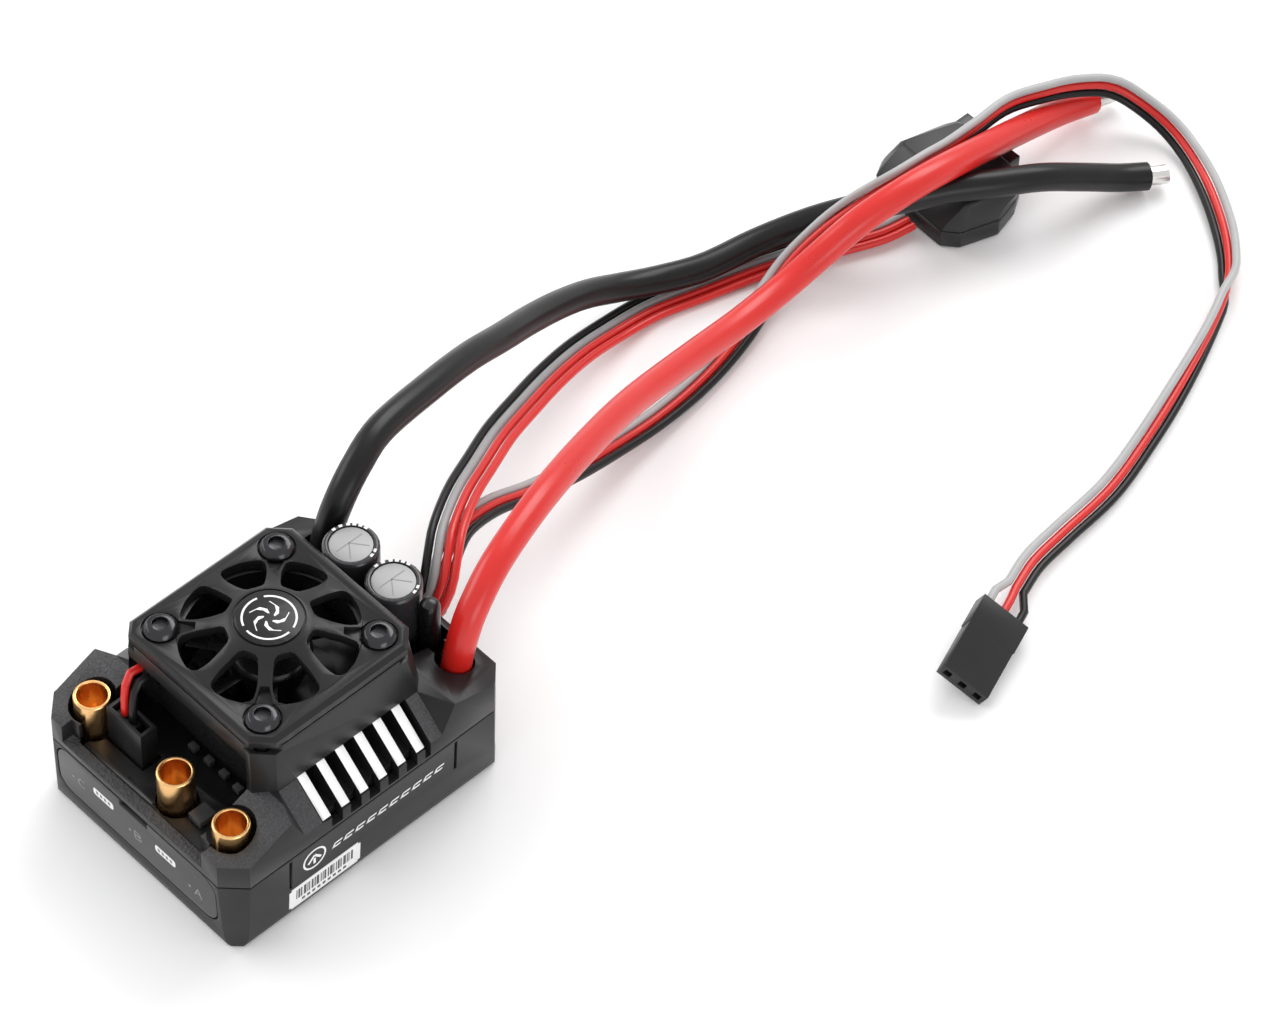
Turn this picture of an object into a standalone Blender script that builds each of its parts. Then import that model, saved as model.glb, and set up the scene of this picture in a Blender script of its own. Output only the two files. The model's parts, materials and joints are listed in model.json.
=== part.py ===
"""Brushless motor speed controller for a model car, with its fan, wires, switch and receiver lead.

Frame: +X to the right seen from the socket end, +Y from the sockets to the capacitors, +Z up.
The origin is at the centre of the case's bottom face. Sizes below are in millimetres.
"""

import math

import bmesh
import bpy
from mathutils import Vector

MM = 0.001

# Case
CASE_HALF_X = 19.5
CASE_HALF_Y = 24.4
CASE_CORNER = 3.0
CASE_WALL = 1.7
CASE_FLOOR = 1.6
SEAM_Z = 12.6
SEAM_GAP = 0.3
SHOULDER_Z = 20.4
FRONT_RIM_Z = 16.9
REAR_RIM_Z = 17.6

# Fan tower
FAN_X = 0.7
FAN_Y = -1.0
FAN_HALF = 12.5
FAN_BOTTOM = 19.3
FAN_TOP = 29.3
FAN_SEAT = 19.0
FAN_BOSS_R = 1.9
FAN_HOLE_PITCH = 20.0
TOWER_RIGHT = 14.55
TOWER_LEFT = -13.15
TOWER_FOOT_LEFT = -13.9
FRONT_LEFT_CORNER = 1.5
CORNER_RECESS = 0.8
TOWER_FRONT = -14.6
TOWER_BACK = 13.0
LIP_Z = 26.3
GUARD_BOTTOM = 29.6
GUARD_TOP = 31.25
HUB_TOP = 34.2
GUARD_HOLE_R = 12.2

# Heat sink
FIN_PITCH = 3.27
FIN_THICK = 1.4
FIN_COUNT = 6
FIN_FIRST_Y = -8.0
WINDOW_FRONT = -8.95
WINDOW_BACK = 10.0

# Electronics
BOARD_TOP = 11.2
BOARD_THICK = 1.6
SOCKETS = {"a": (13.7, -19.4), "b": (2.6, -19.3), "c": (-14.3, -19.1)}
SOCKET_R = 2.58
SOCKET_BORE_R = 2.05
SOCKET_TOP = 19.5
CAPACITORS = ((-6.1, 19.1), (2.3, 19.1))
CAPACITOR_R = 3.9
CAPACITOR_TOP = 26.5
SLEEVE_LOW = 13.2
HEADER_PLAN = ((-11.35, -4.4), (-19.2, -16.4))
HEADER_TOP = 19.8
SMALL_CHIPS = ((-3.3, -11.4), (-0.2, -11.4), (2.8, -11.4), (5.8, -11.6))

# Fasteners
CASE_SCREWS = ((-16.8, -13.6), (16.8, -13.6), (-16.9, 15.6), (16.9, 15.6))

# Wires
POWER_WIRE_D = 4.3
STRAND_D = 1.2
FAN_LEAD_D = 1.2
STRAND_PITCH = 1.35
PLUG_PITCH = 2.54
LEAD_EXIT = Vector((0, 1, 0))

BLACK_ROUTE = (
    (-13.1, 20.1, 14.0), (-12.8, 20.2, 18.5), (-12.4, 20.8, 23.0), (-12.4, 22.6, 27.0),
    (-13.4, 26.5, 30.0), (-15.6, 33.0, 30.8), (-18.5, 44.5, 28.0), (-21.2, 54.0, 24.4),
    (-23.5, 62.5, 20.2), (-25.8, 70.0, 16.2), (-27.6, 77.5, 12.3), (-28.6, 84.0, 8.8),
    (-28.4, 90.0, 5.8), (-26.8, 96.0, 4.2), (-24.2, 103.0, 3.9), (-22.4, 112.0, 4.1),
    (-19.2, 119.5, 5.6), (-14.9, 124.6, 8.1), (-10.7, 129.2, 9.9), (-7.2, 135.2, 10.5),
    (-3.6, 141.1, 10.3), (-0.5, 147.6, 9.4), (1.9, 154.8, 6.2), (3.8, 160.6, 3.4), (5.9, 164.6, 2.5),
)
BLACK_TIP = ((6.1, 165.0, 2.45), (6.8, 166.1, 2.35), (7.4, 167.3, 2.3))
RED_ROUTE = (
    (13.2, 20.1, 14.0), (13.4, 20.2, 18.5), (13.7, 20.9, 23.0), (13.2, 23.2, 27.0),
    (11.4, 29.0, 30.2), (7.9, 39.0, 30.2), (4.0, 49.0, 27.4), (0.0, 59.0, 23.3),
    (-2.8, 66.5, 20.0), (-5.2, 74.0, 16.6), (-8.3, 86.0, 11.8), (-10.2, 96.5, 8.8),
    (-10.9, 106.0, 8.6), (-10.4, 112.8, 10.8), (-9.2, 119.0, 14.0), (-8.0, 126.2, 15.7),
    (-7.7, 133.6, 15.2), (-8.4, 143.0, 12.3), (-9.6, 153.2, 8.4), (-10.4, 162.6, 4.9),
    (-9.9, 169.4, 3.1),
)
RED_TIP = ((-9.8, 169.9, 3.05), (-9.4, 172.2, 2.7), (-9.0, 174.4, 2.5))
SWITCH_ROUTE = (
    (2.5, 24.9, 16.3), (2.5, 25.9, 17.2), (1.8, 27.6, 19.0), (-0.2, 30.2, 20.7), (-2.9, 33.6, 21.1),
    (-7.1, 40.0, 19.5), (-10.9, 47.0, 17.0), (-14.6, 54.0, 14.4), (-18.0, 62.0, 11.4),
    (-21.2, 70.0, 8.3), (-23.8, 78.0, 5.2), (-25.4, 86.0, 2.4), (-25.6, 94.0, 1.0),
    (-23.6, 102.0, 0.8), (-21.4, 110.0, 0.8), (-18.9, 117.5, 0.8), (-16.0, 124.0, 0.9),
    (-13.9, 129.0, 1.1), (-13.0, 133.4, 1.3),
)
RECEIVER_ROUTE = (
    (2.5, 24.8, 14.7), (2.5, 26.1, 15.4), (1.2, 28.6, 17.0), (-0.9, 31.6, 18.0), (-3.7, 36.8, 17.4),
    (-5.4, 44.0, 14.8), (-6.0, 52.0, 11.0), (-7.1, 61.0, 7.0), (-8.6, 71.0, 3.4),
    (-9.6, 80.5, 1.4), (-10.8, 90.0, 0.8), (-12.8, 99.0, 1.0), (-15.2, 107.0, 2.4),
    (-16.0, 112.8, 5.0), (-15.0, 117.8, 8.4), (-13.2, 122.3, 11.6), (-11.6, 127.0, 13.9),
    (-11.2, 132.8, 14.3), (-11.6, 139.0, 12.8), (-12.4, 146.0, 11.5), (-12.9, 153.5, 10.9),
    (-11.4, 159.8, 10.2), (-9.9, 165.5, 8.8), (-7.3, 170.7, 7.0), (-3.2, 173.5, 4.4),
    (2.4, 174.3, 2.5), (9.6, 172.2, 1.7), (16.3, 168.7, 1.3), (22.9, 163.7, 1.6),
    (28.2, 157.7, 2.1), (32.3, 149.6, 2.1), (36.4, 138.9, 1.9), (39.9, 128.1, 1.7),
    (42.7, 117.4, 1.6), (43.8, 106.9, 1.8), (44.8, 99.7, 2.3), (46.8, 93.9, 2.9),
)
# (share of the lead's length, turn of the ribbon about the lead in degrees)
RECEIVER_TURNS = (
    (0.0, 0), (0.36, 0), (0.44, 90), (0.54, 88), (0.60, 78), (0.645, 52),
    (0.69, 14), (0.735, 45), (0.765, 105), (0.86, 140), (0.93, 152), (1.0, 152),
)

# Receiver plug: one top corner at its wire end, its heading along the floor and its roll
PLUG_CORNER = (46.2, 88.1, 6.0)
PLUG_HEADING = -69.5
PLUG_ROLL = 28.0
PLUG_WIDTH = 7.75
PLUG_LENGTH = 13.8
PLUG_THICK = 2.55

# Switch: outline of its base and of its smaller top face
SWITCH_BASE = (
    (-20.5, 134.6), (-6.3, 133.8), (-4.2, 135.6), (-2.2, 141.7),
    (-3.4, 146.3), (-5.4, 149.6), (-18.6, 150.4), (-20.9, 149.0), (-21.8, 137.0),
)
SWITCH_TOP = (
    (-19.8, 139.0), (-5.2, 137.6), (-4.5, 138.1), (-3.8, 140.6),
    (-2.1, 146.8), (-2.9, 147.7), (-16.8, 148.7), (-17.6, 148.3), (-20.4, 139.8),
)
SWITCH_FOOT_Z = 0.05
SWITCH_SEAM_Z = 3.1
SWITCH_TOP_Z = 7.6
KNOB_X = -17.6
KNOB_Z = 5.0
KNOB_TRAVEL = 3.2
SET_BUTTON_X = -8.6

FINE = 40
MEDIUM = 24
COARSE = 16


# ---------------------------------------------------------------- materials

def material(name, colour, roughness, metallic=0.0):
    made = bpy.data.materials.get(name)
    if made is None:
        made = bpy.data.materials.new(name)
        made.use_nodes = True
        shader = made.node_tree.nodes["Principled BSDF"]
        shader.inputs["Base Color"].default_value = (*colour, 1.0)
        shader.inputs["Roughness"].default_value = roughness
        shader.inputs["Metallic"].default_value = metallic
    return made


def case_plastic():
    return material("case_plastic", (0.045, 0.046, 0.049), 0.55)


def tower_plastic():
    return material("tower_plastic", (0.062, 0.063, 0.068), 0.5)


def fan_plastic():
    return material("fan_plastic", (0.012, 0.012, 0.013), 0.45)


def connector_plastic():
    return material("connector_plastic", (0.022, 0.022, 0.024), 0.5)


def fin_metal():
    return material("fin_metal", (0.86, 0.86, 0.87), 0.35, 1.0)


def screw_steel():
    return material("screw_steel", (0.03, 0.03, 0.032), 0.32, 1.0)


def socket_gold():
    return material("socket_gold", (0.86, 0.55, 0.2), 0.22, 1.0)


def can_metal():
    return material("can_metal", (0.82, 0.81, 0.79), 0.4, 1.0)


def board_green():
    return material("board_green", (0.01, 0.03, 0.02), 0.45)


def light_pipe_plastic():
    return material("light_pipe_plastic", (0.5, 0.52, 0.54), 0.25)


def pad_rubber():
    return material("pad_rubber", (0.42, 0.44, 0.46), 0.8)


def wire_rubber(colour_name):
    colours = {
        "black": (0.018, 0.018, 0.02),
        "red": (0.78, 0.06, 0.05),
        "grey": (0.5, 0.5, 0.5),
        "white": (0.82, 0.82, 0.8),
    }
    return material("wire_" + colour_name, colours[colour_name], 0.45)


def coil_copper():
    return material("coil_copper", (0.6, 0.28, 0.14), 0.35, 1.0)


def sleeve_film():
    return material("sleeve_film", (0.1, 0.1, 0.11), 0.3)


def grommet_rubber():
    return material("grommet_rubber", (0.02, 0.02, 0.02), 0.7)


def chip_epoxy():
    return material("chip_epoxy", (0.03, 0.03, 0.032), 0.5)


def chip_ceramic():
    return material("chip_ceramic", (0.3, 0.29, 0.27), 0.5)


def solder_tin():
    return material("solder_tin", (0.72, 0.71, 0.69), 0.3, 1.0)


# ---------------------------------------------------------------- shapes

def clear_scene():
    for found in list(bpy.data.objects):
        bpy.data.objects.remove(found)


def finish_object(name, mesh_data, skin, centre=(0.0, 0.0, 0.0)):
    """The mesh as an object; centre is where its origin goes, in millimetres."""
    mesh = bpy.data.meshes.new(name)
    bmesh.ops.recalc_face_normals(mesh_data, faces=mesh_data.faces)
    for vertex in mesh_data.verts:
        vertex.co = (vertex.co - Vector(centre)) * MM
    mesh_data.to_mesh(mesh)
    mesh_data.free()
    mesh.shade_smooth()
    mesh.set_sharp_from_angle(angle=math.radians(32))
    made = bpy.data.objects.new(name, mesh)
    made.location = Vector(centre) * MM
    bpy.context.scene.collection.objects.link(made)
    if skin is not None:
        mesh.materials.append(skin)
    return made


def loft(name, rings, skin=None, centre=(0.0, 0.0, 0.0)):
    """A closed solid through rings of as many points each, from the lowest ring to the highest."""
    data = bmesh.new()
    rows = [[data.verts.new(point) for point in ring] for ring in rings]
    count = len(rows[0])
    for lower, upper in zip(rows, rows[1:]):
        for i in range(count):
            j = (i + 1) % count
            data.faces.new((lower[i], lower[j], upper[j], upper[i]))
    data.faces.new(list(reversed(rows[0])))
    data.faces.new(rows[-1])
    return finish_object(name, data, skin, centre)


def prism(name, outline, low, high, skin=None, centre=(0.0, 0.0, 0.0)):
    """An outline in X and Y, extruded from low to high."""
    rings = [[(x, y, z) for x, y in outline] for z in (low, high)]
    return loft(name, rings, skin, centre)


def prism_along_y(name, outline, front, back, skin=None):
    """An outline in X and Z, extruded along Y."""
    rings = [[(x, y, z) for x, z in outline] for y in (front, back)]
    return loft(name, rings, skin)


def prism_along_x(name, outline, left, right, skin=None):
    """An outline in Y and Z, extruded along X."""
    rings = [[(x, y, z) for y, z in outline] for x in (left, right)]
    return loft(name, rings, skin)


def box(name, x_range, y_range, z_range, skin=None, centre=(0.0, 0.0, 0.0)):
    outline = rectangle(*x_range, *y_range)
    return prism(name, outline, *z_range, skin, centre)


def turned(name, profile, sides, axis, skin=None, centre=(0.0, 0.0, 0.0)):
    """A profile of (radius, z) turned about a vertical axis. Off the axis, it closes on itself."""
    data = bmesh.new()
    rows = []
    for radius, z in profile:
        if radius == 0:
            rows.append([data.verts.new((axis[0], axis[1], z))])
            continue
        turns = [2 * math.pi * i / sides for i in range(sides)]
        rows.append([
            data.verts.new((axis[0] + radius * math.cos(t), axis[1] + radius * math.sin(t), z))
            for t in turns
        ])
    pairs = list(zip(rows, rows[1:]))
    if profile[0][0] > 0 and profile[-1][0] > 0:
        pairs.append((rows[-1], rows[0]))
    for lower, upper in pairs:
        for i in range(sides):
            j = (i + 1) % sides
            below = [lower[i % len(lower)], lower[j % len(lower)]]
            above = [upper[j % len(upper)], upper[i % len(upper)]]
            data.faces.new(dict.fromkeys(below + above))
    return finish_object(name, data, skin, centre)


def cylinder(name, radius, low, high, sides, axis, skin=None, centre=(0.0, 0.0, 0.0)):
    return turned(name, ((0, low), (radius, low), (radius, high), (0, high)), sides, axis, skin, centre)


def rectangle(left, right, front, back):
    return [(left, front), (right, front), (right, back), (left, back)]


def cut_rectangle(left, right, front, back, corner):
    """A rectangle with each corner cut off at 45 degrees."""
    return [
        (left + corner, front), (right - corner, front), (right, front + corner), (right, back - corner),
        (right - corner, back), (left + corner, back), (left, back - corner), (left, front + corner),
    ]


def round_rectangle(left, right, front, back, radius, steps=5):
    points = []
    for turn, x, y in (
        (180, left + radius, front + radius), (270, right - radius, front + radius),
        (0, right - radius, back - radius), (90, left + radius, back - radius),
    ):
        for i in range(steps + 1):
            angle = math.radians(turn + 90 * i / steps)
            points.append((x + radius * math.cos(angle), y + radius * math.sin(angle)))
    return points


def apply_boolean(target, tools, operation):
    for tool in tools:
        tool.hide_render = True
        tool.display_type = "WIRE"
        step = target.modifiers.new(tool.name, "BOOLEAN")
        step.operation = operation
        step.solver = "EXACT"
        step.object = tool
    return target


def cut(target, *tools):
    return apply_boolean(target, tools, "DIFFERENCE")


def join(target, *tools):
    return apply_boolean(target, tools, "UNION")


# ---------------------------------------------------------------- case

def case_outline(inset=0.0, corner=CASE_CORNER):
    half_x = CASE_HALF_X - inset
    half_y = CASE_HALF_Y - inset
    return cut_rectangle(-half_x, half_x, -half_y, half_y, corner)


def lower_case_block(name, skin=None):
    """The outside of the lower case. Its sides draw in towards the bottom, and its corners don't."""
    levels = (
        (0.0, 0.85, 1.2), (0.5, 0.55, 1.8), (1.5, 0.4, 2.2), (4.0, 0.25, 2.5), (SEAM_Z, 0.0, CASE_CORNER)
    )
    rings = [[(x, y, z) for x, y in case_outline(inset, corner)] for z, inset, corner in levels]
    return loft(name, rings, skin)


def front_panel_shape(name, grow):
    """The outline of the face panel in X and Z, with round top corners and a notch, as a tool along Y."""
    outline = [(x, z) for x, z in round_rectangle(-15.8, 15.8, 3.6, SEAM_Z - 0.2, 2.6)]
    shaped = [(x + math.copysign(grow, x), z + (grow if z > 8 else -grow)) for x, z in outline]
    return prism_along_y(name, shaped, -30.0, -CASE_HALF_Y + 0.75 + grow)


def make_lower_case():
    body = lower_case_block("lower_case", case_plastic())
    inner = cut_rectangle(
        -CASE_HALF_X + CASE_WALL, CASE_HALF_X - CASE_WALL, -CASE_HALF_Y + 1.9, CASE_HALF_Y - CASE_WALL, 2.4
    )
    hollow = prism("lower_case_hollow", inner, CASE_FLOOR, SEAM_Z + 5)
    posts = [
        cylinder(f"lower_case_post_{i}", 2.0, CASE_FLOOR - 0.3, SEAM_Z + 6, MEDIUM, spot)
        for i, spot in enumerate(CASE_SCREWS)
    ]
    cut(hollow, *posts)
    cut(body, hollow)
    cut(body, front_panel_shape("front_panel_seat", 0.2))
    cut(body, box("lower_case_notch", (-3.0, 2.2), (-30.0, -22.0), (11.4, SEAM_Z + 1)))
    for side in (-1, 1):
        for end in (-14.5, 14.5):
            xs = sorted((side * (CASE_HALF_X - 0.75), side * (CASE_HALF_X + 2)))
            cut(body, box(f"side_groove_{side}_{end}", xs, (end - 0.25, end + 0.25), (6.1, 12.1)))
    for i, spot in enumerate(CASE_SCREWS):
        way = ((0, -1), (2.05, -1), (2.05, 1.7), (1.35, 1.7), (1.35, SEAM_Z + 1), (0, SEAM_Z + 1))
        cut(body, turned(f"screw_way_{i}", way, COARSE, spot))
    return body


def make_front_panel():
    panel = lower_case_block("front_panel", tower_plastic())
    apply_boolean(panel, [front_panel_shape("front_panel_edge", 0.0)], "INTERSECT")
    cut(panel, box("front_panel_notch", (-3.2, 2.4), (-30, -20), (SEAM_Z - 1.4, SEAM_Z + 3)))
    return panel


def shoulder_profile():
    """The rim's height from the socket end to the capacitor end, as an outline in Y and Z above it."""
    rim = (
        (-30.0, FRONT_RIM_Z), (-21.0, FRONT_RIM_Z + 0.3), (-14.6, 20.0), (-13.0, SHOULDER_Z),
        (13.0, SHOULDER_Z), (14.4, SHOULDER_Z), (CASE_HALF_Y, REAR_RIM_Z), (30.0, REAR_RIM_Z - 1.6),
    )
    return [*rim, (30.0, 45.0), (-30.0, 45.0)]


def window_end_y(x, z):
    """Where the slanted end of a side window's recess stands, at a place across the case and up."""
    return 11.9 + (10.4 * (x - 14.4) + 11.1 * (z - 20.3)) / 22.5


def side_recess(name, side):
    """The recess that leaves the 43 degree slope in which a side window sits."""
    corners = ((13.6, 21.35), (13.6, 26.0), (24.0, 26.0), (24.0, 11.5))
    rings = [[(side * x, end * window_end_y(x, z), z) for x, z in corners] for end in (-1, 1)]
    return loft(name, rings)


def window_cutters(name, side):
    """The window through the slope, and the slots between the fins that reach lower than it."""
    def span(near, far):
        return sorted((side * near, side * far))

    cutters = [box(f"{name}_window", span(12.9, 26.0), (WINDOW_FRONT, WINDOW_BACK), (15.3, 20.5))]
    for i in range(FIN_COUNT):
        start = FIN_FIRST_Y + i * FIN_PITCH + FIN_THICK / 2
        width = FIN_PITCH - FIN_THICK
        if i == FIN_COUNT - 1:
            width = WINDOW_BACK - start
        cutters.append(box(f"{name}_slot_{i}", span(15.5, 26.0), (start, start + width), (13.3, 16.6)))
    return cutters


def tower_rings():
    """Three levels of the fan tower: its back and corners open out towards the shoulders."""
    levels = (
        (13.2, TOWER_FOOT_LEFT, 14.4, 1.4), (20.6, TOWER_FOOT_LEFT + 0.1, 13.8, 1.6),
        (FAN_TOP, TOWER_LEFT, TOWER_BACK - 0.2, 2.6),
    )
    rings = []
    for z, left, back, corner in levels:
        outline = [
            (left + FRONT_LEFT_CORNER, TOWER_FRONT), (TOWER_RIGHT - 2.4, TOWER_FRONT),
            (TOWER_RIGHT, TOWER_FRONT + 2.4), (TOWER_RIGHT, back - corner),
            (TOWER_RIGHT - corner, back), (left + corner, back),
            (left, back - corner), (left, TOWER_FRONT + FRONT_LEFT_CORNER),
        ]
        rings.append([(x, y, z) for x, y in outline])
    return rings


def corner_recesses():
    """The shadow gap under the guard at each of the tower's corners."""
    corners = (
        (TOWER_LEFT, TOWER_FRONT, FRONT_LEFT_CORNER), (TOWER_RIGHT, TOWER_FRONT, 2.4),
        (TOWER_RIGHT, TOWER_BACK - 0.2, 2.6), (TOWER_LEFT, TOWER_BACK - 0.2, 2.6),
    )
    cutters = []
    for i, (x, y, corner) in enumerate(corners):
        reach = corner + 1.4 * CORNER_RECESS
        outline = [(x + reach, y), (x, y + reach), (x - reach, y), (x, y - reach)]
        cutters.append(prism(f"corner_recess_{i}", outline, FAN_TOP - 1.0, FAN_TOP + 1))
    return cutters


def make_upper_case():
    body = prism("upper_case", case_outline(), SEAM_Z + SEAM_GAP, 22.0, tower_plastic())
    cut(body, prism_along_x("rim_cut", shoulder_profile(), -30, 30))
    cut(body, side_recess("recess_right", 1), side_recess("recess_left", -1))
    join(body, loft("tower_block", tower_rings()))
    fan_gap = FAN_HALF + 0.2
    bay = cut_rectangle(FAN_X - fan_gap, FAN_X + fan_gap, FAN_Y - fan_gap, FAN_Y + fan_gap, 1.0)
    cut(body, prism("fan_bay", bay, FAN_SEAT, 40.0))
    cut(body, *corner_recesses())
    cut(body, box("air_opening", (-13.2, 13.2), (WINDOW_FRONT, WINDOW_BACK), (15.0, FAN_SEAT + 0.5)))
    for i, (x, y) in enumerate(fan_screw_spots()[2:]):
        join(body, cylinder(f"fan_boss_{i}", FAN_BOSS_R, 16.4, FAN_SEAT, COARSE, (x, y)))
    cut(body, box("board_bay_front", (-17.0, 17.0), (-22.4, -16.0), (12.0, 14.4)))
    cut(body, box("board_bay_middle", (-14.6, 14.6), (-17.0, 18.0), (12.0, 15.6)))
    cut(body, box("board_bay_back", (-17.0, 17.0), (18.0, 22.6), (12.0, 15.6)))
    cut(body, box("fin_bay", (-18.1, 18.1), (WINDOW_FRONT, WINDOW_BACK), (12.0, 16.4)))
    cut(body, box("trough", (-13.0, 11.3), (-22.8, -12.0), (12.0, LIP_Z)))
    cut(body, box("front_wall_drop", (-14.4, 13.4), (-30.0, -22.6), (13.9, 30.0)))
    for key in ("a", "c"):
        cut(body, cylinder(f"socket_well_{key}", 3.3, 12.0, 30.0, MEDIUM, SOCKETS[key]))
    cut(body, box("capacitor_bay", (-10.6, 9.4), (14.9, 23.3), (12.0, 30.0)))
    cut(body, box("lead_notch", (-0.7, 5.7), (22.0, 30.0), (13.4, 30.0)))
    for side in (-1, 1):
        cut(body, cylinder(f"wire_hole_{side}", 2.75, 12.0, 30.0, MEDIUM, (side * 13.1, 20.1)))
        cut(body, box(f"wire_channel_{side}", sorted((side * 9.0, side * 13.1)), (18.7, 21.5), (12.0, 30.0)))
    cut(body, *window_cutters("right", 1))
    cut(body, *window_cutters("left", -1))
    for i, spot in enumerate(fan_screw_spots()):
        cut(body, cylinder(f"fan_thread_{i}", 1.3, 12.0, 20.0, COARSE, spot))
    for i, spot in enumerate(CASE_SCREWS):
        cut(body, cylinder(f"thread_{i}", 1.25, 12.0, 17.6, MEDIUM, spot))
    return body


# ---------------------------------------------------------------- fan

def fan_screw_spots():
    half = FAN_HOLE_PITCH / 2
    return [(FAN_X + i * half, FAN_Y + j * half) for i, j in ((-1, -1), (1, -1), (1, 1), (-1, 1))]


def guard_surface(radius):
    """Height of the guard's domed grille at a radius from the fan's axis."""
    share = min(1.0, max(0.0, (radius - 4.8) / 8.4))
    return HUB_TOP - 0.1 - (HUB_TOP - 0.1 - GUARD_TOP) * (1 - (1 - share) ** 1.5)


def grille_opening(name, angle):
    """One opening between two spokes: half widths at rising radii, mirrored about its middle line."""
    halves = (
        (5.75, 0.0), (5.8, 0.9), (6.15, 1.4), (7.0, 1.85), (8.0, 2.3), (9.0, 2.7), (10.0, 2.95),
        (10.9, 3.05), (11.5, 2.75), (11.95, 1.9), (12.1, 1.0), (GUARD_HOLE_R, 0.0),
    )
    right = [(r, w) for r, w in halves]
    left = [(r, -w) for r, w in reversed(halves[1:-1])]
    cos, sin = math.cos(angle), math.sin(angle)
    outline = [(FAN_X + r * cos - w * sin, FAN_Y + r * sin + w * cos) for r, w in right + left]
    return prism(name, outline, 25.0, 40.0)


def guard_outline(inset):
    """The guard's outline drawn in by inset, and by less at the front."""
    left, right = TOWER_LEFT + inset, TOWER_RIGHT - inset
    front, back = TOWER_FRONT + 0.55 * inset, TOWER_BACK - inset
    corner = 2.5 - 0.4 * inset
    front_left = FRONT_LEFT_CORNER + 0.1 - 0.4 * inset
    return [
        (left + front_left, front), (right - corner, front), (right, front + corner), (right, back - corner),
        (right - corner, back), (left + corner, back), (left, back - corner), (left, front + front_left),
    ]


def make_guard():
    plate_rings = []
    for z, inset in ((GUARD_BOTTOM, 0.0), (GUARD_TOP - 0.6, 0.0), (GUARD_TOP, 0.6)):
        plate_rings.append([(x, y, z) for x, y in guard_outline(inset)])
    guard = loft("fan_guard", plate_rings, tower_plastic())
    dome = [(0, GUARD_BOTTOM + 0.5), (13.1, GUARD_BOTTOM + 0.5)]
    dome += [(r, guard_surface(r)) for r in (12.0, 10.0, 7.8, 5.6)]
    dome += [(4.7, HUB_TOP), (0, HUB_TOP)]
    join(guard, turned("guard_dome", dome, FINE, (FAN_X, FAN_Y)))
    under = [(0, 25.0), (11.9, 25.0), (11.9, GUARD_BOTTOM + 0.1)]
    under += [(r, guard_surface(r) - 1.5) for r in (10.4, 7.8)]
    under += [(5.8, HUB_TOP - 1.9), (0, HUB_TOP - 1.9)]
    cut(guard, turned("guard_under", under, FINE, (FAN_X, FAN_Y)))
    for i in range(8):
        cut(guard, grille_opening(f"grille_{i}", math.radians(22.5 + 45 * i)))
    ring = ((4.55, HUB_TOP - 0.35), (4.85, HUB_TOP - 0.35), (4.85, HUB_TOP + 1), (4.55, HUB_TOP + 1))
    cut(guard, turned("hub_ring", ring, FINE, (FAN_X, FAN_Y)))
    for i, (x, y) in enumerate(fan_screw_spots()):
        cut(guard, cylinder(f"guard_seat_{i}", 2.6, GUARD_TOP - 0.55, 40.0, MEDIUM, (x, y)))
        cut(guard, cylinder(f"guard_way_{i}", 1.35, 25.0, 40.0, COARSE, (x, y)))
        turn = math.atan2(y - FAN_Y, x - FAN_X)
        wedge = ((9.6, -0.6), (11.9, -1.15), (11.9, 1.15), (9.6, 0.6))
        outline = [
            (FAN_X + r * math.cos(turn) - w * math.sin(turn), FAN_Y + r * math.sin(turn) + w * math.cos(turn))
            for r, w in wedge
        ]
        cut(guard, prism(f"guard_pocket_{i}", outline, GUARD_TOP - 0.3, 40.0))
    return guard


def make_fan_frame():
    half = FAN_HALF
    outline = round_rectangle(FAN_X - half, FAN_X + half, FAN_Y - half, FAN_Y + half, 1.6, 3)
    frame = prism("fan_frame", outline, FAN_BOTTOM, FAN_TOP, fan_plastic())
    cut(frame, cylinder("fan_duct", 11.75, FAN_BOTTOM - 1, FAN_TOP + 1, FINE, (FAN_X, FAN_Y)))
    mount = turned("fan_mount", (
        (1.2, FAN_BOTTOM), (5.2, FAN_BOTTOM), (5.2, FAN_BOTTOM + 1.3), (2.2, FAN_BOTTOM + 1.3),
        (2.2, FAN_BOTTOM + 6.4), (1.2, FAN_BOTTOM + 6.4),
    ), MEDIUM, (FAN_X, FAN_Y))
    join(frame, mount)
    for i in range(3):
        turn = math.radians(20 + 120 * i)
        cos, sin = math.cos(turn), math.sin(turn)
        outline = [
            (FAN_X + r * cos - w * sin, FAN_Y + r * sin + w * cos)
            for r, w in ((4.9, -0.8), (12.1, -0.8), (12.1, 0.8), (4.9, 0.8))
        ]
        join(frame, prism(f"fan_arm_{i}", outline, FAN_BOTTOM + 0.05, FAN_BOTTOM + 1.1))
    for i, spot in enumerate(fan_screw_spots()):
        cut(frame, cylinder(f"fan_hole_{i}", 1.35, FAN_BOTTOM - 1, FAN_TOP + 1, COARSE, spot))
    return frame


def make_stator():
    profile = (
        (2.5, FAN_BOTTOM + 1.6), (4.5, FAN_BOTTOM + 1.6), (4.5, FAN_BOTTOM + 6.0), (2.5, FAN_BOTTOM + 6.0)
    )
    return turned("fan_coils", profile, COARSE, (FAN_X, FAN_Y), coil_copper())


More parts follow.
